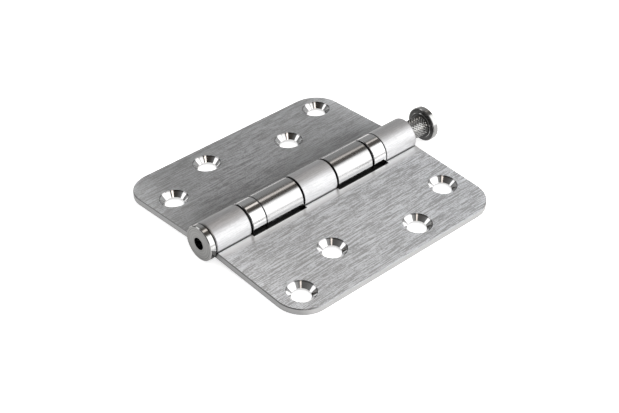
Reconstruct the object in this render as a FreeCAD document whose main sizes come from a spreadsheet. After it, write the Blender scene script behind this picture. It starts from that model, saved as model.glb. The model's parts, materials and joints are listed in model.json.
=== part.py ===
import FreeCAD, Part
import math
import os
import re
import Sketcher

# Ball bearing butt hinge, opened flat and lying with its countersunk faces up.
# X runs across the leaves, Y along the pin towards its head, and Z is up.
# The origin is on the table, midway between the outer faces of the plug and the pin's head.
# Lengths are in millimetres and angles in degrees.

doc = FreeCAD.newDocument("BallBearingHinge")
sheet = doc.addObject("Spreadsheet::Sheet", "Sizes")

sizes = {
    # Leaves: sheet rolled round the pin, with a reverse bend that lifts the plate towards the axis
    "sheet_thickness": 2.5,
    "leaf_length": 89.0,
    "leaf_reach": 44.5,
    "leaf_offset": 1.4,
    "reverse_bend": 1.0,
    "seam_gap": 0.45,
    "corner_radius": 10.0,
    "notch_clearance": 1.2,
    "edge_break": 0.25,
    "rim_break": 0.2,
    # Knuckles, counted from the plug to the pin's head; the third takes what the others leave
    "knuckle_1": 14.25,
    "knuckle_2": 15.8,
    "knuckle_4": 15.9,
    "knuckle_5": 14.4,
    "knuckle_gap": 0.5,
    # Screw holes, in two rows
    "screw_hole_radius": 3.2,
    "countersink_radius": 5.0,
    "countersink_angle": 90.0,
    "outer_row_inset": 8.8,
    "inner_row_inset": 17.5,
    "first_hole_inset": 8.7,
    "hole_step": 21.0,
    # Pin, drawn out of its seat by pin_lift
    "pin_radius": 3.5,
    "pin_clearance": 0.1,
    "ream_allowance": 0.1,
    "pin_end_gap": 0.3,
    "pin_tip_chamfer": 0.8,
    "pin_lift": 8.5,
    "knurl_clearance": 0.06,
    "knurl_length": 10.0,
    "head_thickness": 2.25,
    "head_overhang": 0.15,
    "head_rim_break": 0.25,
    "collar_radius": 4.6,
    "collar_height": 0.35,
    # Plug that closes the lower knuckle
    "plug_flange": 2.55,
    "plug_spigot": 3.0,
    "plug_hole_radius": 2.15,
    "plug_overhang": 0.15,
    "plug_fit": 0.03,
    "plug_rim_break": 0.25,
    "plug_groove": 0.4,
    "plug_groove_depth": 0.7,
    # Ball bearings
    "bearing_height": 6.55,
    "cover_wall": 0.4,
    "cover_inset": 0.05,
    "cover_corner": 0.3,
    "mouth_gap": 0.75,
    "lip_reach": 0.55,
    "upper_race_thickness": 2.2,
    "race_spacing": 0.8,
    "race_play": 0.15,
    "race_fit": 0.03,
    "race_bore_clearance": 0.05,
    "ball_radius": 0.6,
    "ball_count": 12,
    "groove_clearance": 0.05,
    "pocket_clearance": 0.05,
    "cage_thickness": 0.5,
    "cage_play": 0.05,
}
for row, (name, size) in enumerate(sizes.items(), start=1):
    sheet.set("A%d" % row, name)
    sheet.set("B%d" % row, str(size))
    sheet.setAlias("B%d" % row, name)
doc.recompute()


def bound(formula):
    """The formula with the sheet's name before each size."""
    return re.sub(
        r"[a-z]\w*",
        lambda word: "Sizes." + word.group() if word.group() in sizes else word.group(),
        formula,
    )


def value(formula):
    """What a formula in the sizes comes to now."""
    return float(sheet.evalExpression(bound(formula)))


# Sizes that follow from the sheet, as formulas
bore = "(pin_radius + pin_clearance)"
roll_inner = "(pin_radius + pin_clearance - ream_allowance)"
barrel = "(pin_radius + pin_clearance - ream_allowance + sheet_thickness)"
knuckle_1_end = "knuckle_1"
knuckle_2_start = "(" + knuckle_1_end + " + bearing_height)"
knuckle_2_end = "(" + knuckle_2_start + " + knuckle_2)"
knuckle_3_start = "(" + knuckle_2_end + " + knuckle_gap)"
knuckle_5_start = "(leaf_length - knuckle_5)"
knuckle_4_end = "(" + knuckle_5_start + " - bearing_height)"
knuckle_4_start = "(" + knuckle_4_end + " - knuckle_4)"
knuckle_3_end = "(" + knuckle_4_start + " - knuckle_gap)"
head_radius = "(" + barrel + " + head_overhang)"
plug_radius = "(" + barrel + " + plug_overhang)"

# The hinge lies on the pin's head, on the plug and on the leaves' outer edges, which sets the
# droop of each leaf
axis_height = max(value(barrel), value(head_radius), value(plug_radius))
plate_bottom = value("leaf_offset + sheet_thickness")
edge_reach = value("leaf_reach - edge_break")
droop = math.degrees(
    math.asin(axis_height / math.hypot(edge_reach, plate_bottom))
    - math.atan2(plate_bottom, edge_reach)
)
head_face = value("leaf_length + pin_lift + head_thickness")
middle = (head_face - value("plug_flange")) / 2

# Two places nearer than this are the same place
same_place = 1e-4

subparts = []


# Shared steps

def new_body(label):
    body = doc.addObject("PartDesign::Body", label)
    body.Label = label
    subparts.append(body)
    return body


def new_sketch(body, name, role, offset=None):
    sketch = body.newObject("Sketcher::SketchObject", name)
    plane = next(item for item in body.Origin.OriginFeatures if item.Role == role)
    sketch.AttachmentSupport = [(plane, "")]
    sketch.MapMode = "FlatFace"
    if offset:
        sketch.setExpression(".AttachmentOffset.Base.z", bound(offset))
    return sketch


def drive(sketch, constraint, formula):
    """Add a dimension and tie it to its formula."""
    index = sketch.addConstraint(constraint)
    sketch.setExpression("Constraints[%d]" % index, bound(formula))


def place_point(sketch, geometry, point, across, along):
    """Set a point's two distances from the sketch's origin."""
    drive(sketch, Sketcher.Constraint("DistanceX", -1, 1, geometry, point, value(across)), across)
    drive(sketch, Sketcher.Constraint("DistanceY", -1, 1, geometry, point, value(along)), along)


def draw_outline(sketch, corners, bends=None):
    """Draw a closed outline through the corners.

    bends gives the edges that are arcs: for the number of the corner that an arc starts at,
    its radius, its centre and +1 or -1 for a left or a right turn.
    """
    bends = bends or {}
    points = [FreeCAD.Vector(value(across), value(along), 0) for across, along in corners]
    normal = FreeCAD.Vector(0, 0, 1)
    edges = []
    for number, start in enumerate(points):
        end = points[(number + 1) % len(points)]
        if number not in bends:
            edges.append((sketch.addGeometry(Part.LineSegment(start, end), False), 1, 2))
            continue
        radius, centre, turn = bends[number]
        middle_point = FreeCAD.Vector(value(centre[0]), value(centre[1]), 0)
        circle = Part.Circle(middle_point, normal, value(radius))
        angles = [math.atan2(p.y - middle_point.y, p.x - middle_point.x) for p in (start, end)]
        if turn > 0:
            geometry = sketch.addGeometry(Part.ArcOfCircle(circle, angles[0], angles[1]), False)
            edges.append((geometry, 1, 2))
        else:
            geometry = sketch.addGeometry(Part.ArcOfCircle(circle, angles[1], angles[0]), False)
            edges.append((geometry, 2, 1))
        drive(sketch, Sketcher.Constraint("Radius", geometry, value(radius)), radius)
    for number, (geometry, start, end) in enumerate(edges):
        follower, follower_start, _ = edges[(number + 1) % len(edges)]
        joined = Sketcher.Constraint("Coincident", geometry, end, follower, follower_start)
        sketch.addConstraint(joined)
        place_point(sketch, geometry, start, *corners[number])


def draw_circles(sketch, centres, radius):
    for across, along in centres:
        centre = FreeCAD.Vector(value(across), value(along), 0)
        circle = Part.Circle(centre, FreeCAD.Vector(0, 0, 1), value(radius))
        geometry = sketch.addGeometry(circle, False)
        place_point(sketch, geometry, 3, across, along)
        drive(sketch, Sketcher.Constraint("Radius", geometry, value(radius)), radius)


def cut_through(body, sketch, name):
    """Cut a sketch through the whole body, both ways, and make sure that it cut."""
    before = body.Shape.Volume
    pocket = body.newObject("PartDesign::Pocket", name)
    pocket.Profile = sketch
    pocket.Type = "ThroughAll"
    pocket.SideType = "Symmetric"
    doc.recompute()
    if not body.Shape.Volume < before:
        raise RuntimeError(name + " cuts nothing")
    return pocket


def turned(label, corners, start, bends=None):
    """A turned piece: half its section, revolved about the pin's axis.

    start is the height along the axis of the piece's own zero.
    """
    body = new_body(label)
    sketch = new_sketch(body, label + "_section", "XY_Plane")
    draw_outline(sketch, corners, bends)
    revolution = body.newObject("PartDesign::Revolution", label + "_turning")
    revolution.Profile = sketch
    revolution.ReferenceAxis = (sketch, ["V_Axis"])
    revolution.Angle = 360
    body.Placement.Base = FreeCAD.Vector(0, value(start) - middle, axis_height)
    return body


# Leaves

plate_top = "(0 - leaf_offset)"
plate_under = "(0 - leaf_offset - sheet_thickness)"
bend_reach = "(" + barrel + " + reverse_bend)"
bend_z = "(" + plate_under + " - reverse_bend)"
bend_x = "sqrt(" + bend_reach + "^2 - " + bend_z + "^2)"
bend_centre = (bend_x, bend_z)


def on_bend_line(radius):
    """The point at this radius from the pin's axis, towards the centre of the reverse bend."""
    share = " * " + radius + " / " + bend_reach
    return (bend_x + share, bend_z + share)


def leaf_section(sketch):
    """Outer section of the sheet, seen along the pin: plate, reverse bend and roll.

    The roll goes under the axis, round the far side and over it, down to the plate.
    """
    corners = [
        ("leaf_reach", plate_top),
        ("leaf_reach", plate_under),
        (bend_x, plate_under),
        on_bend_line(barrel),
        ("sqrt(" + barrel + "^2 - leaf_offset^2)", plate_top),
    ]
    draw_outline(sketch, corners, {2: ("reverse_bend", bend_centre, 1), 3: (barrel, ("0", "0"), -1)})


def seam_section(sketch):
    """Section of the gap where the roll's end stands over the plate and the reverse bend."""
    inside, bend_start = on_bend_line(roll_inner)
    seam_top = "(seam_gap - leaf_offset)"
    beyond = "(" + barrel + " + notch_clearance)"
    corners = [
        (inside, bend_start),
        (bend_x, plate_top),
        (beyond, plate_top),
        (beyond, seam_top),
        (inside, seam_top),
    ]
    draw_outline(sketch, corners, {0: ("(reverse_bend + sheet_thickness)", bend_centre, -1)})


def outer_corners(shape):
    """Names of the two short edges at the leaf's outer corners."""
    reach = value("leaf_reach")
    names = []
    for number, edge in enumerate(shape.Edges, start=1):
        ends = [vertex.Point for vertex in edge.Vertexes]
        on_reach = all(abs(point.x - reach) < same_place for point in ends)
        if on_reach and abs(ends[0].y - ends[-1].y) < same_place:
            names.append("Edge%d" % number)
    return names


def at_leaf_end(box):
    """Whether an edge's box lies flat in one of the leaf's two end faces."""
    nearest = min(abs(box.YMin), abs(box.YMin - value("leaf_length")))
    return box.YMax - box.YMin < same_place and nearest < same_place


def plate_edges(shape):
    """Names of the outer edges of the plate's two faces."""
    reach = value("leaf_reach")
    heights = (value(plate_top), value(plate_under))
    names = []
    for number, edge in enumerate(shape.Edges, start=1):
        box = edge.BoundBox
        flat = any(max(abs(box.ZMin - z), abs(box.ZMax - z)) < same_place for z in heights)
        if flat and (abs(box.XMax - reach) < same_place or at_leaf_end(box)):
            names.append("Edge%d" % number)
    return names


def inner_rims(shape):
    """Names of the roll's outer edges at the knuckle ends that face another knuckle."""
    radius = value(barrel)
    names = []
    for number, edge in enumerate(shape.Edges, start=1):
        box = edge.BoundBox
        across = box.YMax - box.YMin < same_place
        if not across or at_leaf_end(box) or edge.Curve.TypeId != "Part::GeomCircle":
            continue
        if abs(edge.Curve.Radius - radius) < same_place:
            names.append("Edge%d" % number)
    return names


def make_leaf(label, notches):
    """One leaf with its knuckles. notches are the stretches cut away for the other leaf."""
    body = new_body(label)
    section = new_sketch(body, label + "_section", "XZ_Plane")
    leaf_section(section)
    rolled = body.newObject("PartDesign::Pad", label + "_sheet")
    rolled.Profile = section
    rolled.setExpression("Length", bound("leaf_length"))
    rolled.Reversed = True
    doc.recompute()

    reaming = new_sketch(body, label + "_bore", "XZ_Plane")
    draw_circles(reaming, [("0", "0")], bore)
    cut_through(body, reaming, label + "_reaming")

    gaps = new_sketch(body, label + "_notch_outlines", "XY_Plane")
    notch_edge = "(" + barrel + " + notch_clearance)"
    beyond = "(0 - " + barrel + " - notch_clearance)"
    for start, end in notches:
        draw_outline(gaps, [(beyond, start), (notch_edge, start), (notch_edge, end), (beyond, end)])
    notched = cut_through(body, gaps, label + "_notches")

    rounding = body.newObject("PartDesign::Fillet", label + "_corners")
    rounding.Base = (notched, outer_corners(notched.Shape))
    rounding.setExpression("Radius", bound("corner_radius"))
    doc.recompute()

    centres = new_sketch(body, label + "_hole_centres", "XY_Plane", "0 - leaf_offset")
    outer_row = "leaf_reach - outer_row_inset"
    inner_row = "leaf_reach - inner_row_inset"
    second = "first_hole_inset + hole_step"
    draw_circles(
        centres,
        [
            (outer_row, "first_hole_inset"),
            (inner_row, second),
            (outer_row, "leaf_length - (" + second + ")"),
            (inner_row, "leaf_length - first_hole_inset"),
        ],
        "screw_hole_radius",
    )
    doc.recompute()
    plain_volume = body.Shape.Volume
    holes = body.newObject("PartDesign::Hole", label + "_screw_holes")
    holes.Profile = centres
    doc.recompute()
    holes.DepthType = "ThroughAll"
    holes.HoleCutType = "Countersink"
    holes.HoleCutCustomValues = True
    holes.setExpression("Diameter", bound("2 * screw_hole_radius"))
    holes.setExpression("HoleCutDiameter", bound("2 * countersink_radius"))
    holes.setExpression("HoleCutCountersinkAngle", bound("countersink_angle"))
    doc.recompute()
    if not body.Shape.Volume < plain_volume:
        raise RuntimeError(label + " has no screw holes")

    breaking = body.newObject("PartDesign::Chamfer", label + "_edge_break")
    breaking.Base = (holes, plate_edges(holes.Shape))
    breaking.setExpression("Size", bound("edge_break"))
    doc.recompute()
    rims = body.newObject("PartDesign::Chamfer", label + "_rims")
    rims.Base = (breaking, inner_rims(breaking.Shape))
    rims.setExpression("Size", bound("rim_break"))
    doc.recompute()

    seam = new_sketch(body, label + "_seam_outline", "XZ_Plane")
    seam_section(seam)
    cut_through(body, seam, label + "_seam")
    return body


def turned_end(formula):
    """A place along the pin, counted from the leaf's other end."""
    return "(leaf_length - " + formula + ")"


past_end = "(0 - " + barrel + ")"
near_leaf = make_leaf(
    "three_knuckle_leaf",
    [(knuckle_1_end, knuckle_3_start), (knuckle_3_end, knuckle_5_start)],
)
far_leaf = make_leaf(
    "two_knuckle_leaf",
    [
        (past_end, turned_end(knuckle_4_end)),
        (turned_end(knuckle_4_start), turned_end(knuckle_2_end)),
        (turned_end(knuckle_2_start), "(leaf_length + " + barrel + ")"),
    ],
)
along_pin = FreeCAD.Vector(0, 1, 0)
upwards = FreeCAD.Vector(0, 0, 1)
near_leaf.Placement = FreeCAD.Placement(
    FreeCAD.Vector(0, -middle, axis_height),
    FreeCAD.Rotation(along_pin, droop),
)
far_leaf.Placement = FreeCAD.Placement(
    FreeCAD.Vector(0, value("leaf_length") - middle, axis_height),
    FreeCAD.Rotation(along_pin, -droop) * FreeCAD.Rotation(upwards, 180),
)


# Pin: its own zero is the underside of the head

shank = "(leaf_length + collar_height - plug_spigot - pin_end_gap)"
knurl_radius = "(" + bore + " - knurl_clearance)"
turned(
    "hinge_pin",
    [
        ("0", "0 - " + shank),
        ("pin_radius - pin_tip_chamfer", "0 - " + shank),
        ("pin_radius", "pin_tip_chamfer - " + shank),
        ("pin_radius", "0 - knurl_length"),
        (knurl_radius, knurl_radius + " - pin_radius - knurl_length"),
        (knurl_radius, "0 - collar_height"),
        ("collar_radius", "0 - collar_height"),
        ("collar_radius", "0"),
        (head_radius + " - head_rim_break", "0"),
        (head_radius, "head_rim_break"),
        (head_radius, "head_thickness - head_rim_break"),
        (head_radius + " - head_rim_break", "head_thickness"),
        ("0", "head_thickness"),
    ],
    "leaf_length + pin_lift",
)


# Plug: its own zero is the face that seats on knuckle 1, with a groove round it under the flange

spigot_radius = "(" + bore + " - plug_fit)"
groove_floor = "(" + plug_radius + " - plug_groove_depth)"
turned(
    "barrel_plug",
    [
        ("plug_hole_radius", "0 - plug_flange"),
        (plug_radius + " - plug_rim_break", "0 - plug_flange"),
        (plug_radius, "plug_rim_break - plug_flange"),
        (plug_radius, "0 - plug_groove - plug_rim_break / 2"),
        (plug_radius + " - plug_rim_break / 2", "0 - plug_groove"),
        (groove_floor, "0 - plug_groove"),
        (groove_floor, "0"),
        (spigot_radius, "0"),
        (spigot_radius, "plug_spigot - plug_rim_break"),
        (spigot_radius + " - plug_rim_break", "plug_spigot"),
        ("plug_hole_radius", "plug_spigot"),
    ],
    "0",
)


# Ball bearings: each one's own zero is the face of the knuckle that its lower race stands on

cover_outer = "(" + barrel + " - cover_inset)"
cover_inner = "(" + cover_outer + " - cover_wall)"
cover_bottom = "(bearing_height - cover_wall)"
lip_radius = "(" + cover_inner + " - lip_reach)"
lip_top = "(mouth_gap + cover_wall)"
race_bore = "(" + bore + " + race_bore_clearance)"
race_outer = "(" + cover_inner + " - race_play)"
neck_radius = "(" + lip_radius + " - race_play)"
upper_face = "(" + cover_bottom + " - upper_race_thickness)"
lower_face = "(" + upper_face + " - race_spacing)"
ball_height = "(" + upper_face + " - race_spacing / 2)"
pitch_radius = "((" + race_bore + " + " + race_outer + ") / 2)"
groove_radius = "(ball_radius + groove_clearance)"
groove_half = "sqrt(" + groove_radius + "^2 - (race_spacing / 2)^2)"
groove_centre = (pitch_radius, ball_height)


def make_cover(label, start):
    """Drawn cup, with its mouth crimped in over the lower race."""
    return turned(
        label,
        [
            (lip_radius, "mouth_gap"),
            (cover_outer + " - cover_corner", "mouth_gap"),
            (cover_outer, "mouth_gap + cover_corner"),
            (cover_outer, "bearing_height - cover_corner"),
            (cover_outer + " - cover_corner", "bearing_height"),
            (race_bore, "bearing_height"),
            (race_bore, cover_bottom),
            (cover_inner, cover_bottom),
            (cover_inner, lip_top),
            (lip_radius, lip_top),
        ],
        start,
        {
            1: ("cover_corner", (cover_outer + " - cover_corner", "mouth_gap + cover_corner"), 1),
            3: ("cover_corner", (cover_outer + " - cover_corner", "bearing_height - cover_corner"), 1),
        },
    )


def make_upper_race(label, start):
    """Ring pressed into the cup, with the balls' groove in its lower face."""
    race_rim = "(" + cover_inner + " - race_fit)"
    return turned(
        label,
        [
            (race_bore, upper_face),
            (pitch_radius + " - " + groove_half, upper_face),
            (pitch_radius + " + " + groove_half, upper_face),
            (race_rim, upper_face),
            (race_rim, cover_bottom),
            (race_bore, cover_bottom),
        ],
        start,
        {1: (groove_radius, groove_centre, -1)},
    )


def make_lower_race(label, start):
    """Ring that stands on the knuckle, with a neck that passes through the cup's mouth."""
    shoulder = "(" + lip_top + " + race_play)"
    return turned(
        label,
        [
            (race_bore, "0"),
            (neck_radius, "0"),
            (neck_radius, shoulder),
            (race_outer, shoulder),
            (race_outer, lower_face),
            (pitch_radius + " + " + groove_half, lower_face),
            (pitch_radius + " - " + groove_half, lower_face),
            (race_bore, lower_face),
        ],
        start,
        {5: (groove_radius, groove_centre, -1)},
    )


def make_cage(label, start):
    """Flat ring with a round pocket for each ball."""
    lower = "(" + ball_height + " - cage_thickness / 2)"
    upper = "(" + ball_height + " + cage_thickness / 2)"
    inner = race_bore + " + cage_play"
    outer = race_outer + " - cage_play"
    body = turned(
        label,
        [(inner, lower), (outer, lower), (outer, upper), (inner, upper)],
        start,
    )
    doc.recompute()
    pocket_sketch = new_sketch(body, label + "_pocket_outline", "XZ_Plane")
    draw_circles(pocket_sketch, [(pitch_radius, "0")], "ball_radius + pocket_clearance")
    pocket = cut_through(body, pocket_sketch, label + "_pocket")
    one_pocket = body.Shape.Volume
    pattern = body.newObject("PartDesign::PolarPattern", label + "_pockets")
    pattern.Originals = [pocket]
    axis = next(item for item in body.Origin.OriginFeatures if item.Role == "Y_Axis")
    pattern.Axis = (axis, [""])
    pattern.Angle = 360
    pattern.setExpression("Occurrences", bound("ball_count"))
    body.Tip = pattern
    doc.recompute()
    if not body.Shape.Volume < one_pocket:
        raise RuntimeError(label + " has one pocket only")
    return body


def make_balls(label, start):
    """The ring of balls, one in each pocket of the cage."""
    count = int(value("ball_count"))
    radius = value(pitch_radius)
    height = value(start) + value(ball_height) - middle
    for number in range(count):
        name = "%s_%02d" % (label, number + 1)
        ball = doc.addObject("Part::Sphere", name)
        ball.Label = name
        ball.setExpression("Radius", bound("ball_radius"))
        turn = 2 * math.pi * number / count
        centre = FreeCAD.Vector(radius * math.cos(turn), height, axis_height - radius * math.sin(turn))
        # The sphere's own poles are laid along the pin
        ball.Placement = FreeCAD.Placement(centre, FreeCAD.Rotation(FreeCAD.Vector(1, 0, 0), 90))
        subparts.append(ball)


for number, start in ((1, knuckle_1_end), (2, knuckle_4_end)):
    bearing = "bearing_%d" % number
    make_cover(bearing + "_cover", start)
    make_upper_race(bearing + "_upper_race", start)
    make_lower_race(bearing + "_lower_race", start)
    make_cage(bearing + "_cage", start)
    make_balls(bearing + "_ball", start)

doc.recompute()

# Nothing is written unless every piece is sound
for item in doc.Objects:
    if "Invalid" in item.State or "Error" in item.State:
        raise RuntimeError(item.Name + " failed: " + ", ".join(item.State))
for piece in subparts:
    if piece.Shape.isNull() or not piece.Shape.isValid() or len(piece.Shape.Solids) != 1:
        raise RuntimeError(piece.Label + " is not one sound solid")

os.makedirs("parts", exist_ok=True)
for piece in subparts:
    piece.Shape.exportStep("parts/" + piece.Label + ".step")
print("pieces", len(subparts), "droop", round(droop, 3), "axis height", axis_height, "middle", middle)
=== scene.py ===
import json
import math

import bpy
from mathutils import Matrix, Vector


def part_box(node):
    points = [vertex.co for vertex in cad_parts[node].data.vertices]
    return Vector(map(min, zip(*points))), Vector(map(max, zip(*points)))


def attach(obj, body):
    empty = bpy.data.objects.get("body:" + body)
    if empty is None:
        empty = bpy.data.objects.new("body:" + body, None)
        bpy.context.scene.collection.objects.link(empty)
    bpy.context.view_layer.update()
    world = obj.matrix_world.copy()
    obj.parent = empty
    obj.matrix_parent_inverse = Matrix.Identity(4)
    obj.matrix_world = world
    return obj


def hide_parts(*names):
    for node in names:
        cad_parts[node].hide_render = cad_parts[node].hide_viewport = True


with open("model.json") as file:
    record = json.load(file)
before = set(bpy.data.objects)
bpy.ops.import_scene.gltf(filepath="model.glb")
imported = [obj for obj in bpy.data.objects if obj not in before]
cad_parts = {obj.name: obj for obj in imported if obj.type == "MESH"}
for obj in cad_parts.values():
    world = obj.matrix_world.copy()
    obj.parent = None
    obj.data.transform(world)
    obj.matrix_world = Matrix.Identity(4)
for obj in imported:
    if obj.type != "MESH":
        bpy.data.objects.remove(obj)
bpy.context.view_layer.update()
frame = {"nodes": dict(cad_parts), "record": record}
nodes = frame["nodes"]
mm = 0.001

scene = bpy.context.scene
scene.view_settings.view_transform = "Standard"

# Camera, fitted to the hinge's edges, holes and barrel; its azimuth runs from -Y towards +X
camera = {
    "azimuth": 47.136,
    "elevation": 37.124,
    "roll": 0.583,
    "distance": 471.402 * mm,
    "target": Vector((8.871, -12.193, 6.11)) * mm,
    "focalLength": 1455.257,  # in pixels of the picture
    "pictureWidth": 619,
    "sensorWidth": 36.0,
    "clip": (0.01, 50.0),
}


def makeCamera():
    azimuth, elevation, roll = (math.radians(camera[k]) for k in ("azimuth", "elevation", "roll"))
    back = Vector((
        math.sin(azimuth) * math.cos(elevation),
        -math.cos(azimuth) * math.cos(elevation),
        math.sin(elevation),
    ))
    across = Vector((0, 0, 1)).cross(back).normalized()
    upright = back.cross(across)
    right = across * math.cos(roll) + upright * math.sin(roll)
    up = upright * math.cos(roll) - across * math.sin(roll)
    data = bpy.data.cameras.new("camera")
    data.sensor_fit = "HORIZONTAL"
    data.sensor_width = camera["sensorWidth"]
    data.lens = camera["focalLength"] / camera["pictureWidth"] * camera["sensorWidth"]
    data.clip_start, data.clip_end = camera["clip"]
    thing = bpy.data.objects.new("camera", data)
    scene.collection.objects.link(thing)
    turn = Matrix((right, up, back)).transposed().to_4x4()
    thing.matrix_world = Matrix.Translation(camera["target"] + back * camera["distance"]) @ turn
    scene.camera = thing


makeCamera()
print("camera placed")


def toLinear(hexColour):
    channels = (int(hexColour[i:i + 2], 16) / 255 for i in (1, 3, 5))
    return [c / 12.92 if c <= 0.04045 else ((c + 0.055) / 1.055) ** 2.4 for c in channels] + [1]


# Adds a node; an input given as a socket is linked, and any other is set
def addNode(tree, kind, settings=None, inputs=None):
    node = tree.nodes.new(kind)
    for key, setting in (settings or {}).items():
        setattr(node, key, setting)
    for key, given in (inputs or {}).items():
        if isinstance(given, bpy.types.NodeSocket):
            tree.links.new(given, node.inputs[key])
        else:
            node.inputs[key].default_value = given
    return node


def newMaterial(name):
    material = bpy.data.materials.new(name)
    material.use_nodes = True
    material.node_tree.nodes.clear()
    return material, material.node_tree


def dress(material, *names):
    for name in names:
        for slot in nodes[name].material_slots:
            slot.material = material


barrel = {"radius": 6.0 * mm, "axisHeight": 6.15 * mm}


# The three parts of a place, and its distance from the pin's axis
def addBarrelRadius(tree, place):
    parts = addNode(tree, "ShaderNodeSeparateXYZ", None, {0: place})
    lift = addNode(tree, "ShaderNodeMath", {"operation": "SUBTRACT"},
                   {0: parts.outputs["Z"], 1: barrel["axisHeight"]})
    outwards = addNode(tree, "ShaderNodeCombineXYZ", None, {"X": parts.outputs["X"], "Z": lift.outputs[0]})
    radius = addNode(tree, "ShaderNodeVectorMath", {"operation": "LENGTH"}, {0: outwards.outputs[0]})
    return parts, radius.outputs["Value"]


# Leaves: 304 stainless sheet, brushed along the barrel with a belt, so it blurs what it mirrors across
# the grain and shows short bright and dark streaks. The real scratches are about 0.05 mm wide, and are
# drawn as wide as the streaks that the eye takes them for.
leafSteel = {
    "streaks": (  # width, length, turn from the barrel's line, share of the whole
        (0.27 * mm, 11.0 * mm, 0.5, 0.3),
        (0.26 * mm, 6.0 * mm, 3.5, 0.25),
        (0.25 * mm, 3.0 * mm, -2.0, 0.25),
        (0.3 * mm, 0.7 * mm, 0.5, 0.2),
    ),
    "grainRange": (0.44, 0.56),  # darkest and lightest sum of the streaks
    "anisotropy": 1.0,
    "rootRoughness": 0.28,       # by the barrel the sheet is smoother, where it was drawn round the rolls
    "grazingSheenColour": "#f8f8f8",  # painted sheen: seen along the sheet it is drawn near white, as smooth steel shines
    "grazingRoughness": 0.2,
    "cutShadeColour": "#a6a6a6",      # painted shade: the sheared ends are drawn duller than the faces
    "gapShadeColour": "#3a3a3a",      # painted shade: the ends of the knuckles, in the narrow gaps between them, are drawn dark
    "sideLightColour": "#c8c8c8",     # painted light: the long outer edge is drawn bright
    "cutRoughness": 0.36,
    "arrisTone": 0.62,           # broken edges are drawn darker
    "topRise": 0.5,              # a face that looks up by more than this is on the countersunk side
    "seamShadeReach": (6.03 * mm, 6.37 * mm),
    "seamShadeTone": 0.45,            # painted shade in the corner where the rolled end meets the sheet
    "outerRange": (12.0 * mm, 24.0 * mm),  # from the axis, where the painted light on the plate grows
    "endMiddle": -2.0 * mm,
    "endRange": (30.0 * mm, 50.0 * mm),    # from that middle, along the barrel
}
# Countersinks: cut with a piloted cutter, bright, with rings round the hole
countersink = {
    "radius": 5.0 * mm,
    "colour": "#dcdcdc",
    "roughness": 0.09,
    "ringWidth": 0.16 * mm,
    "ringDepth": 0.002 * mm,
    "ringDetail": 1.0,
    "rimInset": (0.45 * mm, 0.15 * mm),  # a dark line is drawn at the rim
    "rimTone": 0.45,
}
# Zones of the finish: what each reads, the reading where it starts and the one where it is full.
# Level is 1 for a face along the sheet and 0 for one across it, endwards is 1 for a face that looks
# along the barrel, and facing grows to 1 as a face is seen edge on.
leafZones = {
    "plate": ("radius", barrel["radius"] + 0.05 * mm, barrel["radius"] + 0.6 * mm, "LINEAR"),
    "clearOfRoot": ("radius", barrel["radius"] + 1.0 * mm, barrel["radius"] + 4.5 * mm, "SMOOTHSTEP"),
    "grazing": ("facing", 0.45, 0.75, "SMOOTHSTEP"),
    "nearHole": ("hole", countersink["radius"] + 0.3 * mm, countersink["radius"] + 0.1 * mm, "LINEAR"),
    "sloping": ("level", 0.96, 0.86, "LINEAR"),
    "arris": ("level", 0.97, 0.9, "LINEAR"),
    "upright": ("level", 0.4, 0.2, "LINEAR"),
    "end": ("endwards", 0.35, 0.72, "LINEAR"),
}
nearLeaf = {
    "name": "brushedSteelSatinKnuckles",
    "node": "three_knuckle_leaf",
    # Painted light: this sheet is drawn lighter than the far leaf's, which is the same steel
    "darkGrain": "#b0b1b3",
    "lightGrain": "#dfe1e4",
    "outerLightTone": 1.08,               # painted light: how much brighter it is drawn away from the barrel
    "endLightTone": 1.22,                 # and towards its ends
    # Painted light: by the barrel this sheet is drawn near white
    "rootLightColour": "#f1f2f3",
    "plateRoughness": (0.31, 0.43),  # of its finest and of its coarsest scratches
    "knuckleColour": "#bdbdbe",      # its knuckles keep a satin grain
    "knuckleRoughness": 0.3,
    "knuckleGrain": 0.07,
}
farLeaf = {
    "name": "brushedSteelPolishedKnuckles",
    "node": "two_knuckle_leaf",
    # Painted shade: this sheet is drawn darker than the near leaf's, which is the same steel
    "darkGrain": "#8b8c8d",
    "lightGrain": "#a7a9ab",
    "outerLightTone": 1.33,
    "endLightTone": 1.58,
    # Painted light at the root, a little above the grain
    "rootLightColour": "#a0a1a3",
    "plateRoughness": (0.32, 0.46),
    "knuckleColour": "#b0b0b0",      # its knuckles are buffed to a mirror
    "knuckleRoughness": 0.11,
    "knuckleGrain": 0.04,
}


# Distance from the axis of the nearest screw hole
def addHoleDistance(tree, place, patterns, upwards):
    nearest = None
    for pattern in patterns:
        for way in (-1, 1):
            hole = Vector(pattern["pos_m"]) + Vector((0, way * pattern["dims"]["pcd_mm"] / 2 * mm, 0))
            away = addNode(tree, "ShaderNodeVectorMath", {"operation": "SUBTRACT"}, {0: place, 1: hole})
            away = addNode(tree, "ShaderNodeVectorMath", {"operation": "CROSS_PRODUCT"},
                           {0: away.outputs[0], 1: upwards})
            away = addNode(tree, "ShaderNodeVectorMath", {"operation": "LENGTH"}, {0: away.outputs[0]})
            away = away.outputs["Value"]
            if nearest is not None:
                away = addNode(tree, "ShaderNodeMath", {"operation": "MINIMUM"},
                               {0: nearest, 1: away}).outputs[0]
            nearest = away
    return nearest


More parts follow.
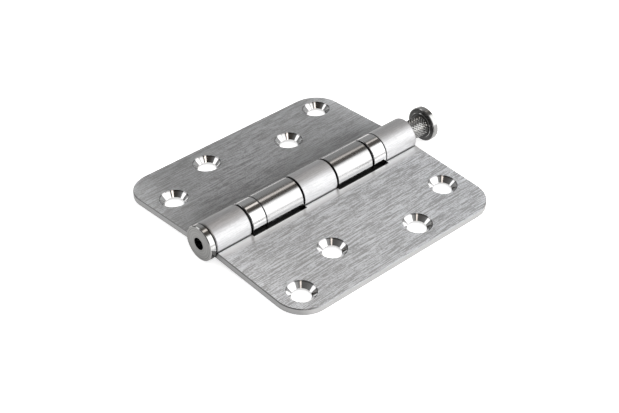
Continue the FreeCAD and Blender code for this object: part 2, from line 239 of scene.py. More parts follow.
# What the zones of a leaf read: where a point lies, and which way its face looks
def addLeafReadings(tree, leaf, place, normal):
    patterns = [m for m in frame["record"]["mounts"]
                if m["kind"] == "bolt_pattern" and m["name"].startswith(leaf["node"])]
    upwards = Vector(patterns[0]["axis"])
    parts, radius = addBarrelRadius(tree, place)
    turned = addNode(tree, "ShaderNodeVectorTransform", {
        "vector_type": "NORMAL", "convert_from": "WORLD", "convert_to": "OBJECT"}, {0: normal})
    rise = addNode(tree, "ShaderNodeVectorMath", {"operation": "DOT_PRODUCT"},
                   {0: turned.outputs[0], 1: upwards})
    level = addNode(tree, "ShaderNodeMath", {"operation": "ABSOLUTE"}, {0: rise.outputs["Value"]})
    endwards = addNode(tree, "ShaderNodeSeparateXYZ", None, {0: turned.outputs[0]})
    endwards = addNode(tree, "ShaderNodeMath", {"operation": "ABSOLUTE"}, {0: endwards.outputs["Y"]})
    facing = addNode(tree, "ShaderNodeLayerWeight", None, {"Blend": 0.5})
    return {
        "radius": radius,
        "along": parts.outputs["Y"],
        "hole": addHoleDistance(tree, place, patterns, upwards),
        "rise": rise.outputs["Value"],  # 1 on the countersunk side, -1 on the back
        "level": level.outputs[0],
        "endwards": endwards.outputs[0],
        "facing": facing.outputs["Facing"],
    }


def addLeafZones(tree, readings):
    zones = {}
    for name, (reading, start, full, fade) in leafZones.items():
        zones[name] = addNode(tree, "ShaderNodeMapRange", {"interpolation_type": fade}, {
            "Value": readings[reading], "From Min": start, "From Max": full}).outputs[0]
    # Cones slope near a hole, the long outer edge is upright on the plate, and neither cones nor cut
    # faces have a grain
    for name, operation, first, second in (
        ("cone", "MULTIPLY", "nearHole", "sloping"),
        ("side", "MULTIPLY", "upright", "plate"),
        ("cut", "MAXIMUM", "end", "side"),
        ("plain", "MAXIMUM", "cut", "cone"),
        ("dimArris", "MULTIPLY", "arris", "clearOfRoot"),
    ):
        zones[name] = addNode(tree, "ShaderNodeMath", {"operation": operation},
                              {0: zones[first], 1: zones[second]}).outputs[0]
    # Darkened arrises are neither level nor upright, and away from holes and barrel
    for name in ("upright", "nearHole"):
        clear = addNode(tree, "ShaderNodeMath", {"operation": "SUBTRACT"}, {0: 1.0, 1: zones[name]})
        zones["dimArris"] = addNode(tree, "ShaderNodeMath", {"operation": "MULTIPLY"},
                                {0: zones["dimArris"], 1: clear.outputs[0]}).outputs[0]
    # Painted shade: a dark line in the corner where the rolled end meets the top of the sheet
    low, high = leafSteel["seamShadeReach"]
    corner = addNode(tree, "ShaderNodeMath", {"operation": "COMPARE"},
                     {0: readings["radius"], 1: (low + high) / 2, 2: (high - low) / 2})
    onTop = addNode(tree, "ShaderNodeMath", {"operation": "GREATER_THAN"},
                    {0: readings["rise"], 1: leafSteel["topRise"]})
    zones["seam"] = addNode(tree, "ShaderNodeMath", {"operation": "MULTIPLY"},
                            {0: corner.outputs[0], 1: onTop.outputs[0]}).outputs[0]
    return zones


# Grain: streaks of several sizes along the barrel, added up round the middle tone
def addGrain(tree, place):
    total = 0.0
    for width, length, turn, part in leafSteel["streaks"]:
        stretched = addNode(tree, "ShaderNodeMapping", {"vector_type": "TEXTURE"}, {
            "Vector": place, "Rotation": (0, 0, math.radians(turn)), "Scale": (width, length, width)})
        streak = addNode(tree, "ShaderNodeTexNoise", None, {
            "Vector": stretched.outputs[0], "Scale": 1.0, "Detail": 0.0})
        total = addNode(tree, "ShaderNodeMath", {"operation": "MULTIPLY_ADD"},
                        {0: streak.outputs["Fac"], 1: part, 2: total}).outputs[0]
    darkest, lightest = leafSteel["grainRange"]
    grain = addNode(tree, "ShaderNodeMapRange", None, {
        "Value": total, "From Min": darkest, "From Max": lightest})
    return grain.outputs[0]


# The plate's grain, with painted light that makes it brighter away from the barrel and towards the ends
def addPlateColour(tree, leaf, readings, zones, grain):
    # Towards the barrel the streaks fade to the middle tone
    share = addNode(tree, "ShaderNodeMapRange", None, {
        "Value": zones["clearOfRoot"], "To Min": leaf["knuckleGrain"], "To Max": 1.0})
    shown = addNode(tree, "ShaderNodeMix", {"data_type": "FLOAT"}, {
        "Factor": share.outputs[0], 2: 0.5, 3: grain})
    colour = addNode(tree, "ShaderNodeMix", {"data_type": "RGBA"}, {
        "Factor": shown.outputs[0], 6: toLinear(leaf["darkGrain"]), 7: toLinear(leaf["lightGrain"])})
    along = addNode(tree, "ShaderNodeMath", {"operation": "SUBTRACT"},
                    {0: readings["along"], 1: leafSteel["endMiddle"]})
    along = addNode(tree, "ShaderNodeMath", {"operation": "ABSOLUTE"}, {0: along.outputs[0]})
    tones = []
    for distance, (start, full), tone in (
        (readings["radius"], leafSteel["outerRange"], leaf["outerLightTone"]),
        (along.outputs[0], leafSteel["endRange"], leaf["endLightTone"]),
    ):
        tones.append(addNode(tree, "ShaderNodeMapRange", {"interpolation_type": "SMOOTHSTEP"}, {
            "Value": distance, "From Min": start, "From Max": full, "To Min": 1.0, "To Max": tone}))
    tone = addNode(tree, "ShaderNodeMath", {"operation": "MULTIPLY"},
                   {0: tones[0].outputs[0], 1: tones[1].outputs[0]})
    colour = addNode(tree, "ShaderNodeVectorMath", {"operation": "SCALE"},
                     {0: colour.outputs[2], "Scale": tone.outputs[0]})
    return colour.outputs[0]


def addLeafColour(tree, leaf, readings, zones, grain):
    # The knuckles have one tone, with a faint share of the grain
    tint = addNode(tree, "ShaderNodeMapRange", None, {
        "Value": grain, "To Min": 1 - leaf["knuckleGrain"], "To Max": 1 + leaf["knuckleGrain"]})
    knuckle = addNode(tree, "ShaderNodeVectorMath", {"operation": "SCALE"}, {
        0: toLinear(leaf["knuckleColour"])[:3], "Scale": tint.outputs[0]})
    ends = addNode(tree, "ShaderNodeMix", {"data_type": "RGBA"}, {
        "Factor": zones["plate"], 6: toLinear(leafSteel["gapShadeColour"]), 7: toLinear(leafSteel["cutShadeColour"])})
    # Each layer has a colour outside its zone and one inside it, where None is the colour so far
    colour = addPlateColour(tree, leaf, readings, zones, grain)
    for zone, outside, inside in (
        ("clearOfRoot", toLinear(leaf["rootLightColour"]), None),
        ("grazing", None, toLinear(leafSteel["grazingSheenColour"])),
        ("plate", knuckle.outputs[0], None),
        ("side", None, toLinear(leafSteel["sideLightColour"])),
        ("end", None, ends.outputs[2]),
    ):
        colour = addNode(tree, "ShaderNodeMix", {"data_type": "RGBA"}, {
            "Factor": zones[zone],
            6: colour if outside is None else outside,
            7: colour if inside is None else inside,
        }).outputs[2]
    # Darker arrises, and the painted shade in the seam
    for zone, tone in (("dimArris", leafSteel["arrisTone"]), ("seam", leafSteel["seamShadeTone"])):
        darker = addNode(tree, "ShaderNodeMapRange", None, {
            "Value": zones[zone], "To Min": 1.0, "To Max": tone})
        colour = addNode(tree, "ShaderNodeVectorMath", {"operation": "SCALE"},
                         {0: colour, "Scale": darker.outputs[0]}).outputs[0]
    start, full = (countersink["radius"] - inset for inset in countersink["rimInset"])
    rim = addNode(tree, "ShaderNodeMapRange", None, {
        "Value": readings["hole"], "From Min": start, "From Max": full,
        "To Min": 1.0, "To Max": countersink["rimTone"]})
    bright = addNode(tree, "ShaderNodeVectorMath", {"operation": "SCALE"}, {
        0: toLinear(countersink["colour"])[:3], "Scale": rim.outputs[0]})
    colour = addNode(tree, "ShaderNodeMix", {"data_type": "RGBA"}, {
        "Factor": zones["cone"], 6: colour, 7: bright.outputs[0]})
    return colour.outputs[2]


def addLeafRoughness(tree, leaf, zones, grain):
    finest, coarsest = leaf["plateRoughness"]
    rough = addNode(tree, "ShaderNodeMapRange", None, {
        "Value": grain, "To Min": finest, "To Max": coarsest}).outputs[0]
    for zone, outside, inside in (
        ("clearOfRoot", leafSteel["rootRoughness"], None),
        ("grazing", None, leafSteel["grazingRoughness"]),
        ("plate", leaf["knuckleRoughness"], None),
        ("cut", None, leafSteel["cutRoughness"]),
        ("cone", None, countersink["roughness"]),
    ):
        rough = addNode(tree, "ShaderNodeMix", {"data_type": "FLOAT"}, {
            "Factor": zones[zone],
            2: rough if outside is None else outside,
            3: rough if inside is None else inside,
        }).outputs[0]
    return rough


def makeLeafSteel(leaf):
    material, tree = newMaterial(leaf["name"])
    place = addNode(tree, "ShaderNodeTexCoord").outputs["Object"]
    normal = addNode(tree, "ShaderNodeNewGeometry").outputs["Normal"]
    readings = addLeafReadings(tree, leaf, place, normal)
    zones = addLeafZones(tree, readings)
    grain = addGrain(tree, place)

    # Cutter rings on the cones
    rings = addNode(tree, "ShaderNodeMath", {"operation": "DIVIDE"},
                    {0: readings["hole"], 1: countersink["ringWidth"]})
    rings = addNode(tree, "ShaderNodeTexNoise", {"noise_dimensions": "1D"}, {
        "W": rings.outputs[0], "Scale": 1.0, "Detail": countersink["ringDetail"]})
    bump = addNode(tree, "ShaderNodeBump", None, {
        "Strength": zones["cone"], "Distance": countersink["ringDepth"], "Height": rings.outputs["Fac"]})

    # The blur of a brushed face runs across its grain; cut faces have none
    across = addNode(tree, "ShaderNodeVectorMath", {"operation": "CROSS_PRODUCT"}, {0: normal, 1: (0, 1, 0)})
    oneWay = addNode(tree, "ShaderNodeMapRange", None, {
        "Value": zones["plain"], "To Min": leafSteel["anisotropy"], "To Max": 0.0})
    steel = addNode(tree, "ShaderNodeBsdfPrincipled", None, {
        "Base Color": addLeafColour(tree, leaf, readings, zones, grain),
        "Metallic": 1.0,
        "Roughness": addLeafRoughness(tree, leaf, zones, grain),
        "Anisotropic": oneWay.outputs[0],
        "Tangent": across.outputs[0],
        "Normal": bump.outputs[0],
    })
    addNode(tree, "ShaderNodeOutputMaterial", None, {"Surface": steel.outputs[0]})
    return material


for leaf in (nearLeaf, farLeaf):
    dress(makeLeafSteel(leaf), leaf["node"])
print("leaves brushed")

# Free-cutting stainless, turned: bright round the rim, rougher on its faces and drawn darker there as painted
# shade, with tool marks round the axis
turnedSteel = {
    "name": "turnedSteel",
    "dark": "#a8a8a7",
    "light": "#c4c4c3",
    "faceDark": "#7d7d7c",
    "faceLight": "#a6a6a5",
    "roughness": 0.13,
    "faceRoughness": 0.3,
    "ringWidth": 0.22 * mm,
    "ringDepth": 0.004 * mm,
}
# The same on the pin, drawn darker as painted shade, and darker still on its end faces, with painted shade of
# what they mirror
pinSteel = {
    "name": "turnedPinSteel",
    "dark": "#9e9e9d",
    "light": "#b8b8b7",
    "faceDark": "#444444",
    "faceLight": "#767675",
    "roughness": 0.15,
    "faceRoughness": 0.3,
    "ringWidth": 0.22 * mm,
    "ringDepth": 0.004 * mm,
}
# Drawn steel cup, buffed: a mirror with the faintest lines round it
polishedCover = {
    "name": "polishedCover",
    "dark": "#bcbcbc",
    "light": "#c8c8c8",
    "faceDark": "#b0b0b0",
    "faceLight": "#bcbcbc",
    "roughness": 0.11,
    "faceRoughness": 0.2,
    "ringWidth": 0.3 * mm,
    "ringDepth": 0.0015 * mm,
}
# Hardened bearing steel, ground: cooler and closer-grained than the turned parts
groundRace = {
    "name": "groundRace",
    "dark": "#8d8f92",
    "light": "#aeb0b3",
    "faceDark": "#9a9c9f",
    "faceLight": "#b2b4b7",
    "roughness": 0.22,
    "faceRoughness": 0.26,
    "ringWidth": 0.12 * mm,
    "ringDepth": 0.002 * mm,
}
# Half-hard brass strip, blanked and pierced: warm, with a soft sheen
pressedBrass = {
    "name": "pressedBrass",
    "dark": "#b8934a",
    "light": "#d4b068",
    "faceDark": "#bd9a52",
    "faceLight": "#d8b66f",
    "roughness": 0.28,
    "faceRoughness": 0.32,
    "ringWidth": 0.4 * mm,
    "ringDepth": 0.002 * mm,
}
# Chrome bearing steel, lapped: a near-perfect mirror, a little bluish
ballSteel = {
    "name": "ballSteel",
    "dark": "#c9cbce",
    "light": "#dcdee0",
    "roughness": 0.05,
    "cloud": 0.5 * mm,
    "cloudDetail": 2.0,
}
# Tool marks that these finishes share
toolMarks = {
    "detail": 2.0,
    "detailShare": 0.6,
    "toneRange": (0.3, 0.7),    # of the marks' noise, from the dark to the light colour
    "faceRange": (0.8, 0.97),   # how far a face looks along the axis, from side to end face
}


# A finish whose marks run round the pin's axis: rings on the faces, and lines round the cylinders
def makeTurnedFinish(finish):
    material, tree = newMaterial(finish["name"])
    place = addNode(tree, "ShaderNodeTexCoord").outputs["Object"]
    parts, radius = addBarrelRadius(tree, place)
    marks = addNode(tree, "ShaderNodeCombineXYZ", None, {"X": radius, "Y": parts.outputs["Y"]})
    marks = addNode(tree, "ShaderNodeMapping", None, {
        "Vector": marks.outputs[0], "Scale": [1 / finish["ringWidth"]] * 3})
    rings = addNode(tree, "ShaderNodeTexNoise", {"noise_dimensions": "2D"}, {
        "Vector": marks.outputs[0], "Scale": 1.0, "Detail": toolMarks["detail"],
        "Roughness": toolMarks["detailShare"]})
    darkest, lightest = toolMarks["toneRange"]
    tone = addNode(tree, "ShaderNodeMapRange", None, {
        "Value": rings.outputs["Fac"], "From Min": darkest, "From Max": lightest})
    geometry = addNode(tree, "ShaderNodeNewGeometry")
    endwards = addNode(tree, "ShaderNodeSeparateXYZ", None, {0: geometry.outputs["Normal"]})
    endwards = addNode(tree, "ShaderNodeMath", {"operation": "ABSOLUTE"}, {0: endwards.outputs["Y"]})
    start, full = toolMarks["faceRange"]
    onFace = addNode(tree, "ShaderNodeMapRange", None, {
        "Value": endwards.outputs[0], "From Min": start, "From Max": full})
    side = addNode(tree, "ShaderNodeMix", {"data_type": "RGBA"}, {
        "Factor": tone.outputs[0], 6: toLinear(finish["dark"]), 7: toLinear(finish["light"])})
    face = addNode(tree, "ShaderNodeMix", {"data_type": "RGBA"}, {
        "Factor": tone.outputs[0], 6: toLinear(finish["faceDark"]), 7: toLinear(finish["faceLight"])})
    colour = addNode(tree, "ShaderNodeMix", {"data_type": "RGBA"}, {
        "Factor": onFace.outputs[0], 6: side.outputs[2], 7: face.outputs[2]})
    rough = addNode(tree, "ShaderNodeMix", {"data_type": "FLOAT"}, {
        "Factor": onFace.outputs[0], 2: finish["roughness"], 3: finish["faceRoughness"]})
    bump = addNode(tree, "ShaderNodeBump", None, {
        "Strength": 1.0, "Distance": finish["ringDepth"], "Height": rings.outputs["Fac"]})
    metal = addNode(tree, "ShaderNodeBsdfPrincipled", None, {
        "Base Color": colour.outputs[2], "Metallic": 1.0, "Roughness": rough.outputs[0],
        "Normal": bump.outputs[0]})
    addNode(tree, "ShaderNodeOutputMaterial", None, {"Surface": metal.outputs[0]})
    return material


def makeBallSteel():
    material, tree = newMaterial(ballSteel["name"])
    place = addNode(tree, "ShaderNodeTexCoord").outputs["Object"]
    cloud = addNode(tree, "ShaderNodeMapping", None, {"Vector": place, "Scale": [1 / ballSteel["cloud"]] * 3})
    cloud = addNode(tree, "ShaderNodeTexNoise", None, {
        "Vector": cloud.outputs[0], "Scale": 1.0, "Detail": ballSteel["cloudDetail"]})
    colour = addNode(tree, "ShaderNodeMix", {"data_type": "RGBA"}, {
        "Factor": cloud.outputs["Fac"], 6: toLinear(ballSteel["dark"]), 7: toLinear(ballSteel["light"])})
    steel = addNode(tree, "ShaderNodeBsdfPrincipled", None, {
        "Base Color": colour.outputs[2], "Metallic": 1.0, "Roughness": ballSteel["roughness"]})
    addNode(tree, "ShaderNodeOutputMaterial", None, {"Surface": steel.outputs[0]})
    return material


dress(makeTurnedFinish(turnedSteel), "barrel_plug")
dress(makeTurnedFinish(polishedCover), "bearing_1_cover", "bearing_2_cover")
dress(makeTurnedFinish(groundRace), *[n for n in nodes if n.endswith("_race")])
dress(makeTurnedFinish(pressedBrass), *[n for n in nodes if n.endswith("_cage")])
dress(makeBallSteel(), *[n for n in nodes if "_ball_" in n])
print("bearings finished")

# Pin: turned, with a rolled diamond knurl. A real pin's crests bite into the last knuckle, and these
# stop just short of its bore.
pinLow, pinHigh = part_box("hinge_pin")
pin = {
    "tip": pinLow[1],
    "end": pinHigh[1],
    "headRadius": (pinHigh[0] - pinLow[0]) / 2,
    "shankRadius": 3.5 * mm,
    "tipChamfer": 0.8 * mm,
    "headThickness": 2.25 * mm,
    "rimBreak": 0.25 * mm,
    "collarRadius": 4.6 * mm,
    "collarHeight": 0.35 * mm,
    "collarBreak": 0.15 * mm,
    "knurlLength": 10.0 * mm,   # measured from under the head
    "crestRadius": 3.57 * mm,
    "crestMargin": 0.005 * mm,  # a point this near to the crest radius belongs to the knurl
    "grooveDepth": 0.32 * mm,
    "diamondsAround": 20,
    "diamondsAlong": 8,
    "stepsPerDiamond": 6,
    "sharpAngle": 24,
}


# Closed skin from a profile of (place along the axis, radius) that starts and ends on the axis
def turnProfile(name, profile, steps):
    points, faces, rows = [], [], []
    for along, radius in profile:
        if radius == 0:
            rows.append([len(points)] * steps)
            points.append((0, along, barrel["axisHeight"]))
        else:
            rows.append(list(range(len(points), len(points) + steps)))
            for step in range(steps):
                angle = 2 * math.pi * step / steps
                across, up = radius * math.sin(angle), radius * math.cos(angle)
                points.append((across, along, barrel["axisHeight"] + up))
    for row, above in zip(rows, rows[1:]):
        for step in range(steps):
            after = (step + 1) % steps
            corners = [row[step], row[after], above[after], above[step]]
            faces.append(list(dict.fromkeys(corners)))
    mesh = bpy.data.meshes.new(name)
    mesh.from_pydata(points, [], faces)
    mesh.validate()
    return mesh


# Profile of the pin, and where its knurl starts and how far it runs
def makePinProfile():
    underHead = pin["end"] - pin["headThickness"]
    collarEnd = underHead - pin["collarHeight"]
    knurlStart = underHead - pin["knurlLength"]
    knurlRun = collarEnd - knurlStart
    knurlRows = pin["diamondsAlong"] * pin["stepsPerDiamond"]
    profile = [
        (pin["tip"], 0),
        (pin["tip"], pin["shankRadius"] - pin["tipChamfer"]),
        (pin["tip"] + pin["tipChamfer"], pin["shankRadius"]),
        (knurlStart, pin["shankRadius"]),
    ]
    for row in range(knurlRows + 1):
        profile.append((knurlStart + knurlRun * row / knurlRows, pin["crestRadius"]))
    profile += [
        (collarEnd, pin["collarRadius"] - pin["collarBreak"]),
        (collarEnd + pin["collarBreak"], pin["collarRadius"]),
        (underHead, pin["collarRadius"]),
        (underHead, pin["headRadius"] - pin["rimBreak"]),
        (underHead + pin["rimBreak"], pin["headRadius"]),
        (pin["end"] - pin["rimBreak"], pin["headRadius"]),
        (pin["end"], pin["headRadius"] - pin["rimBreak"]),
        (pin["end"], 0),
    ]
    return profile, knurlStart, knurlRun


# Height of the knurl over its grooves: 0 in a groove of either family, and 1 on the crest between them
def addKnurlHeight(tree, given, parts, lift):
    # How many diamonds a point is round the axis and along it
    angle = addNode(tree, "ShaderNodeMath", {"operation": "ARCTAN2"}, {0: parts.outputs["X"], 1: lift})
    turns = addNode(tree, "ShaderNodeMath", {"operation": "DIVIDE"}, {0: angle.outputs[0], 1: 2 * math.pi})
    turns = addNode(tree, "ShaderNodeMath", {"operation": "MULTIPLY"},
                    {0: turns.outputs[0], 1: given.outputs["Diamonds Around"]})
    run = addNode(tree, "ShaderNodeMath", {"operation": "SUBTRACT"},
                  {0: parts.outputs["Y"], 1: given.outputs["Knurl Start"]})
    run = addNode(tree, "ShaderNodeMath", {"operation": "DIVIDE"},
                  {0: run.outputs[0], 1: given.outputs["Knurl Length"]})
    rows = addNode(tree, "ShaderNodeMath", {"operation": "MULTIPLY"},
                   {0: run.outputs[0], 1: given.outputs["Diamonds Along"]})
    # Each family is a run of V grooves: 0 in a groove, 1 halfway to the next
    heights = []
    for way in ("ADD", "SUBTRACT"):
        wave = addNode(tree, "ShaderNodeMath", {"operation": way}, {0: turns.outputs[0], 1: rows.outputs[0]})
        wave = addNode(tree, "ShaderNodeMath", {"operation": "FLOORED_MODULO"}, {0: wave.outputs[0], 1: 1.0})
        wave = addNode(tree, "ShaderNodeMath", {"operation": "SUBTRACT"}, {0: wave.outputs[0], 1: 0.5})
        wave = addNode(tree, "ShaderNodeMath", {"operation": "ABSOLUTE"}, {0: wave.outputs[0]})
        heights.append(addNode(tree, "ShaderNodeMath", {"operation": "MULTIPLY_ADD"},
                               {0: wave.outputs[0], 1: -2.0, 2: 1.0}))
    height = addNode(tree, "ShaderNodeMath", {"operation": "MINIMUM"},
                     {0: heights[0].outputs[0], 1: heights[1].outputs[0]})
    return height.outputs[0]


# Presses the grooves into the points that lie at the crest radius
def makeKnurlTree():
    tree = bpy.data.node_groups.new("diamondKnurl", "GeometryNodeTree")
    tree.is_modifier = True
    tree.interface.new_socket("Geometry", in_out="INPUT", socket_type="NodeSocketGeometry")
    tree.interface.new_socket("Geometry", in_out="OUTPUT", socket_type="NodeSocketGeometry")
    for name in ("Knurl Start", "Knurl Length", "Crest Radius", "Groove Depth", "Axis Height"):
        tree.interface.new_socket(name, in_out="INPUT", socket_type="NodeSocketFloat")
    for name in ("Diamonds Around", "Diamonds Along"):
        tree.interface.new_socket(name, in_out="INPUT", socket_type="NodeSocketInt")
    tree.interface.new_socket("Material", in_out="INPUT", socket_type="NodeSocketMaterial")
    given = addNode(tree, "NodeGroupInput")

    place = addNode(tree, "GeometryNodeInputPosition")
    parts = addNode(tree, "ShaderNodeSeparateXYZ", None, {0: place.outputs[0]})
    lift = addNode(tree, "ShaderNodeMath", {"operation": "SUBTRACT"},
                   {0: parts.outputs["Z"], 1: given.outputs["Axis Height"]})
    height = addKnurlHeight(tree, given, parts, lift.outputs[0])
    sunk = addNode(tree, "ShaderNodeMath", {"operation": "SUBTRACT"}, {0: 1.0, 1: height})
    sunk = addNode(tree, "ShaderNodeMath", {"operation": "MULTIPLY"},
                   {0: sunk.outputs[0], 1: given.outputs["Groove Depth"]})
    ratio = addNode(tree, "ShaderNodeMath", {"operation": "DIVIDE"},
                    {0: sunk.outputs[0], 1: given.outputs["Crest Radius"]})
    ratio = addNode(tree, "ShaderNodeMath", {"operation": "MULTIPLY"}, {0: ratio.outputs[0], 1: -1.0})
    outwards = addNode(tree, "ShaderNodeCombineXYZ", None, {"X": parts.outputs["X"], "Z": lift.outputs[0]})
    move = addNode(tree, "ShaderNodeVectorMath", {"operation": "SCALE"},
                   {0: outwards.outputs[0], "Scale": ratio.outputs[0]})

    radius = addNode(tree, "ShaderNodeVectorMath", {"operation": "LENGTH"}, {0: outwards.outputs[0]})
    atCrest = addNode(tree, "ShaderNodeMath", {"operation": "COMPARE"},
                      {0: radius.outputs["Value"], 1: given.outputs["Crest Radius"], 2: pin["crestMargin"]})
    moved = addNode(tree, "GeometryNodeSetPosition", None, {
        "Geometry": given.outputs["Geometry"], "Selection": atCrest.outputs[0], "Offset": move.outputs[0]})
    whole = addNode(tree, "GeometryNodeRealizeInstances", None, {"Geometry": moved.outputs[0]})
    coated = addNode(tree, "GeometryNodeSetMaterial", None, {
        "Geometry": whole.outputs[0], "Material": given.outputs["Material"]})
    addNode(tree, "NodeGroupOutput", None, {"Geometry": coated.outputs[0]})
    return tree


def makePin():
    profile, knurlStart, knurlRun = makePinProfile()
    steps = pin["diamondsAround"] * pin["stepsPerDiamond"]
    blank = bpy.data.objects.new("pinBlank", turnProfile("pinBlank", profile, steps))
    scene.collection.objects.link(blank)
    tree = makeKnurlTree()
    knurl = blank.modifiers.new("knurl", "NODES")
    knurl.node_group = tree
    sizes = {
        "Knurl Start": knurlStart,
        "Knurl Length": knurlRun,
        "Crest Radius": pin["crestRadius"],
        "Groove Depth": pin["grooveDepth"],
        "Axis Height": barrel["axisHeight"],
        "Diamonds Around": pin["diamondsAround"],
        "Diamonds Along": pin["diamondsAlong"],
        "Material": makeTurnedFinish(pinSteel),
    }
    for item in tree.interface.items_tree:
        if item.in_out == "INPUT" and item.name in sizes:
            knurl[item.identifier] = sizes[item.name]
    shaped = blank.evaluated_get(bpy.context.evaluated_depsgraph_get())
    mesh = bpy.data.meshes.new_from_object(shaped)
    mesh.name = "knurledPin"
    bpy.data.objects.remove(blank)
    mesh.shade_smooth()
    mesh.set_sharp_from_angle(angle=math.radians(pin["sharpAngle"]))
    piece = bpy.data.objects.new("knurledPin", mesh)
    scene.collection.objects.link(piece)
    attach(piece, "pin")
    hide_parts("hinge_pin")
    return piece


knurledPin = makePin()
print("pin knurled,", len(knurledPin.data.polygons), "faces")

# Studio: a pale floor and a grey room. The floor is white to the camera and grey to the steel.
studio = {
    "floorSize": 8.0,
    "floorColour": "#f0f0f0",
    "floorGlow": 0.75,     # as the camera sees it, so that the floor is white and the shadow faint
    "mirroredGlow": 0.35,  # as the steel mirrors it
    # Painted shadow: under the barrel and the root of the fixed leaf the floor is drawn dark
    "shade": ((-6.0 * mm, 18.0 * mm), (-47.0 * mm, 41.0 * mm)),
    "mirroredReach": (0.0, 4.5 * mm),  # and the steel mirrors more of it
    "shadeEdge": 5.0 * mm,
    "shadeTone": 0.12,
    "room": (  # height on a ball of radius 1, and colour: horizon, wall, wall and ceiling
        (0.03, "#d0d0d0"),
        (0.12, "#b5b5b5"),
        (0.62, "#b5b5b5"),
        (0.82, "#605b56"),
    ),
    "brightness": (1.0, 0.45),  # of the room on the head's side, and of it on the plug's side
    "dimming": (0.0, -0.4),     # where on the same ball, along the barrel, one turns into the other
    "lampDistance": 0.9,
}


# Azimuth from +X towards +Y
def direction(azimuth, elevation):
    a, e = math.radians(azimuth), math.radians(elevation)
    return Vector((math.cos(a) * math.cos(e), math.sin(a) * math.cos(e), math.sin(e)))


# Softboxes: a wide one beyond the head's end of the near leaf, a small one higher up on that leaf's side,
# one at the far leaf's plug end, two strips overhead that draw bright lines on polished steel, and a
# broad lamp that lights the floor and that the steel doesn't mirror. Brightness 1 is white in a mirror.
softboxes = {
    "bigSoftbox": {"way": direction(41, 21), "size": (1.0, 1.25), "brightness": 2.0, "soft": 0.18},
    "upperSoftbox": {"way": direction(12, 55), "size": (0.4, 0.24), "brightness": 1.4, "soft": 0.2},
    "sideSoftbox": {"way": direction(-139, 30), "size": (0.4, 0.35), "brightness": 1.4, "soft": 0.1},
    "ceilingStrip": {
        "way": Vector((0.133, 0.158, 1)), "along": Vector((-0.764, 1.016, 0)), "size": (0.21, 1.75),
        "brightness": 1.35, "colour": "#fff8f2", "soft": 0.22},
    "frontStrip": {
        "way": Vector((0.65, -0.4, 1)), "along": Vector((0.84, -0.54, 0)), "size": (0.2, 0.52),
        "brightness": 1.3, "colour": "#fff4ea", "soft": 0.15},
    "floorLamp": {
        "way": Vector((0, 0, 1)), "along": Vector((0, 1, 0)), "size": (1.4, 1.4),
        "brightness": 0.7, "shown": False},
}


# A lamp's light fades to nothing over this share of its sides, from each edge inwards
def softenEdges(lamp, soft):
    lamp.use_nodes = True
    tree = lamp.node_tree
    tree.nodes.clear()
    place = addNode(tree, "ShaderNodeNewGeometry")
    parts = addNode(tree, "ShaderNodeSeparateXYZ", None, {0: place.outputs["Parametric"]})
    fades = []
    for axis in ("X", "Y"):
        far = addNode(tree, "ShaderNodeMath", {"operation": "SUBTRACT"}, {0: 1.0, 1: parts.outputs[axis]})
        near = addNode(tree, "ShaderNodeMath", {"operation": "MINIMUM"},
                       {0: parts.outputs[axis], 1: far.outputs[0]})
        fades.append(addNode(tree, "ShaderNodeMapRange", {"interpolation_type": "SMOOTHSTEP"},
                             {"Value": near.outputs[0], "From Max": soft}))
    both = addNode(tree, "ShaderNodeMath", {"operation": "MULTIPLY"},
                   {0: fades[0].outputs[0], 1: fades[1].outputs[0]})
    glow = addNode(tree, "ShaderNodeEmission", None, {"Strength": both.outputs[0]})
    addNode(tree, "ShaderNodeOutputLight", None, {"Surface": glow.outputs[0]})


# A rectangular lamp that faces the hinge; its second side runs along the given way
def addSoftbox(name, way, size, brightness, colour="#ffffff", along=Vector((0, 0, 1)), soft=0.0, shown=True):
    data = bpy.data.lights.new(name, "AREA")
    data.shape = "RECTANGLE"
    data.size, data.size_y = size
    data.energy = brightness * math.pi * size[0] * size[1]
    data.color = toLinear(colour)[:3]
    if soft:
        softenEdges(data, soft)
    thing = bpy.data.objects.new(name, data)
    scene.collection.objects.link(thing)
    back = way.normalized()
    side = along.cross(back).normalized()
    turn = Matrix((side, back.cross(side), back)).transposed().to_4x4()
    thing.matrix_world = Matrix.Translation(way * studio["lampDistance"]) @ turn
    thing.visible_camera = False
    thing.visible_glossy = shown


# 0 in the floor's painted shadow and 1 clear of it; the painted shadow reaches further where it is mirrored
def addShadeClearance(tree, mirrored):
    place = addNode(tree, "ShaderNodeTexCoord").outputs["Object"]
    parts = addNode(tree, "ShaderNodeSeparateXYZ", None, {0: place})
    outside = []
    for axis, (low, high), reach in zip("XY", studio["shade"], studio["mirroredReach"]):
        away = addNode(tree, "ShaderNodeMath", {"operation": "SUBTRACT"},
                       {0: parts.outputs[axis], 1: (low + high) / 2})
        away = addNode(tree, "ShaderNodeMath", {"operation": "ABSOLUTE"}, {0: away.outputs[0]})
        away = addNode(tree, "ShaderNodeMath", {"operation": "MULTIPLY_ADD"},
                       {0: mirrored, 1: -reach, 2: away.outputs[0]})
        outside.append(addNode(tree, "ShaderNodeMapRange", {"interpolation_type": "SMOOTHSTEP"}, {
            "Value": away.outputs[0], "From Min": (high - low) / 2 - studio["shadeEdge"],
            "From Max": (high - low) / 2}))
    clear = addNode(tree, "ShaderNodeMath", {"operation": "MAXIMUM"},
                    {0: outside[0].outputs[0], 1: outside[1].outputs[0]})
    return clear.outputs[0]


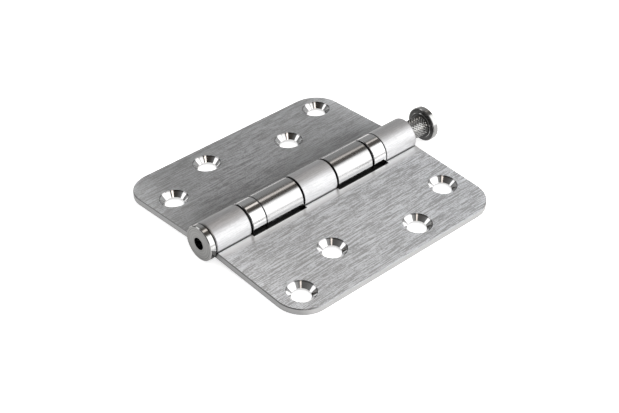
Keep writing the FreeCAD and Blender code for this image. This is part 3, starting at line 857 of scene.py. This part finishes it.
# Matt white board: it takes a faint shadow, and its own glow hides where it ends
def makeFloorPaint():
    material, tree = newMaterial("paleFloor")
    rays = addNode(tree, "ShaderNodeLightPath")
    mirrored = addNode(tree, "ShaderNodeMath", {"operation": "MAXIMUM"}, {
        0: rays.outputs["Is Glossy Ray"], 1: rays.outputs["Is Transmission Ray"]}).outputs[0]
    clear = addShadeClearance(tree, mirrored)
    glow = addNode(tree, "ShaderNodeMath", {"operation": "MULTIPLY"},
                   {0: mirrored, 1: studio["mirroredGlow"]})
    glow = addNode(tree, "ShaderNodeMath", {"operation": "MULTIPLY_ADD"},
                   {0: rays.outputs["Is Camera Ray"], 1: studio["floorGlow"], 2: glow.outputs[0]})
    glow = addNode(tree, "ShaderNodeMath", {"operation": "MULTIPLY"}, {0: glow.outputs[0], 1: clear})
    # Painted shadow: the floor's colour is darkened in the patch under the barrel
    coat = addNode(tree, "ShaderNodeMapRange", None, {"Value": clear, "To Min": studio["shadeTone"]})
    coat = addNode(tree, "ShaderNodeVectorMath", {"operation": "SCALE"}, {
        0: toLinear(studio["floorColour"])[:3], "Scale": coat.outputs[0]})
    paint = addNode(tree, "ShaderNodeBsdfDiffuse", None, {"Color": coat.outputs[0]})
    light = addNode(tree, "ShaderNodeEmission", None, {"Strength": glow.outputs[0]})
    both = addNode(tree, "ShaderNodeAddShader", None, {0: paint.outputs[0], 1: light.outputs[0]})
    # From below the floor isn't there, so that a leaf that hangs through it can be seen
    geometry = addNode(tree, "ShaderNodeNewGeometry")
    nothing = addNode(tree, "ShaderNodeBsdfTransparent")
    oneSided = addNode(tree, "ShaderNodeMixShader", None, {
        0: geometry.outputs["Backfacing"], 1: both.outputs[0], 2: nothing.outputs[0]})
    addNode(tree, "ShaderNodeOutputMaterial", None, {"Surface": oneSided.outputs[0]})
    return material


def makeFloor():
    half = studio["floorSize"] / 2
    corners = [(-half, -half, 0), (half, -half, 0), (half, half, 0), (-half, half, 0)]
    mesh = bpy.data.meshes.new("floor")
    mesh.from_pydata(corners, [], [(0, 1, 2, 3)])
    floor = bpy.data.objects.new("floor", mesh)
    scene.collection.objects.link(floor)
    mesh.materials.append(makeFloorPaint())


def makeWorld():
    world = bpy.data.worlds.new("studio")
    scene.world = world
    world.use_nodes = True
    tree = world.node_tree
    tree.nodes.clear()
    place = addNode(tree, "ShaderNodeTexCoord")
    parts = addNode(tree, "ShaderNodeSeparateXYZ", None, {0: place.outputs["Generated"]})
    ramp = addNode(tree, "ShaderNodeValToRGB", None, {"Fac": parts.outputs["Z"]})
    marks = ramp.color_ramp.elements
    marks.remove(marks[1])
    marks[0].position = studio["room"][0][0]
    marks[0].color = toLinear(studio["room"][0][1])
    for height, colour in studio["room"][1:]:
        mark = marks.new(height)
        mark.color = toLinear(colour)
    start, full = studio["dimming"]
    headSide, plugSide = studio["brightness"]
    dim = addNode(tree, "ShaderNodeMapRange", {"interpolation_type": "SMOOTHSTEP"}, {
        "Value": parts.outputs["Y"], "From Min": start, "From Max": full, "To Min": headSide,
        "To Max": plugSide})
    sky = addNode(tree, "ShaderNodeBackground", None, {
        "Color": ramp.outputs["Color"], "Strength": dim.outputs[0]})
    addNode(tree, "ShaderNodeOutputWorld", None, {"Surface": sky.outputs[0]})


makeFloor()
makeWorld()
for name, softbox in softboxes.items():
    addSoftbox(name, **softbox)
print("studio set up")
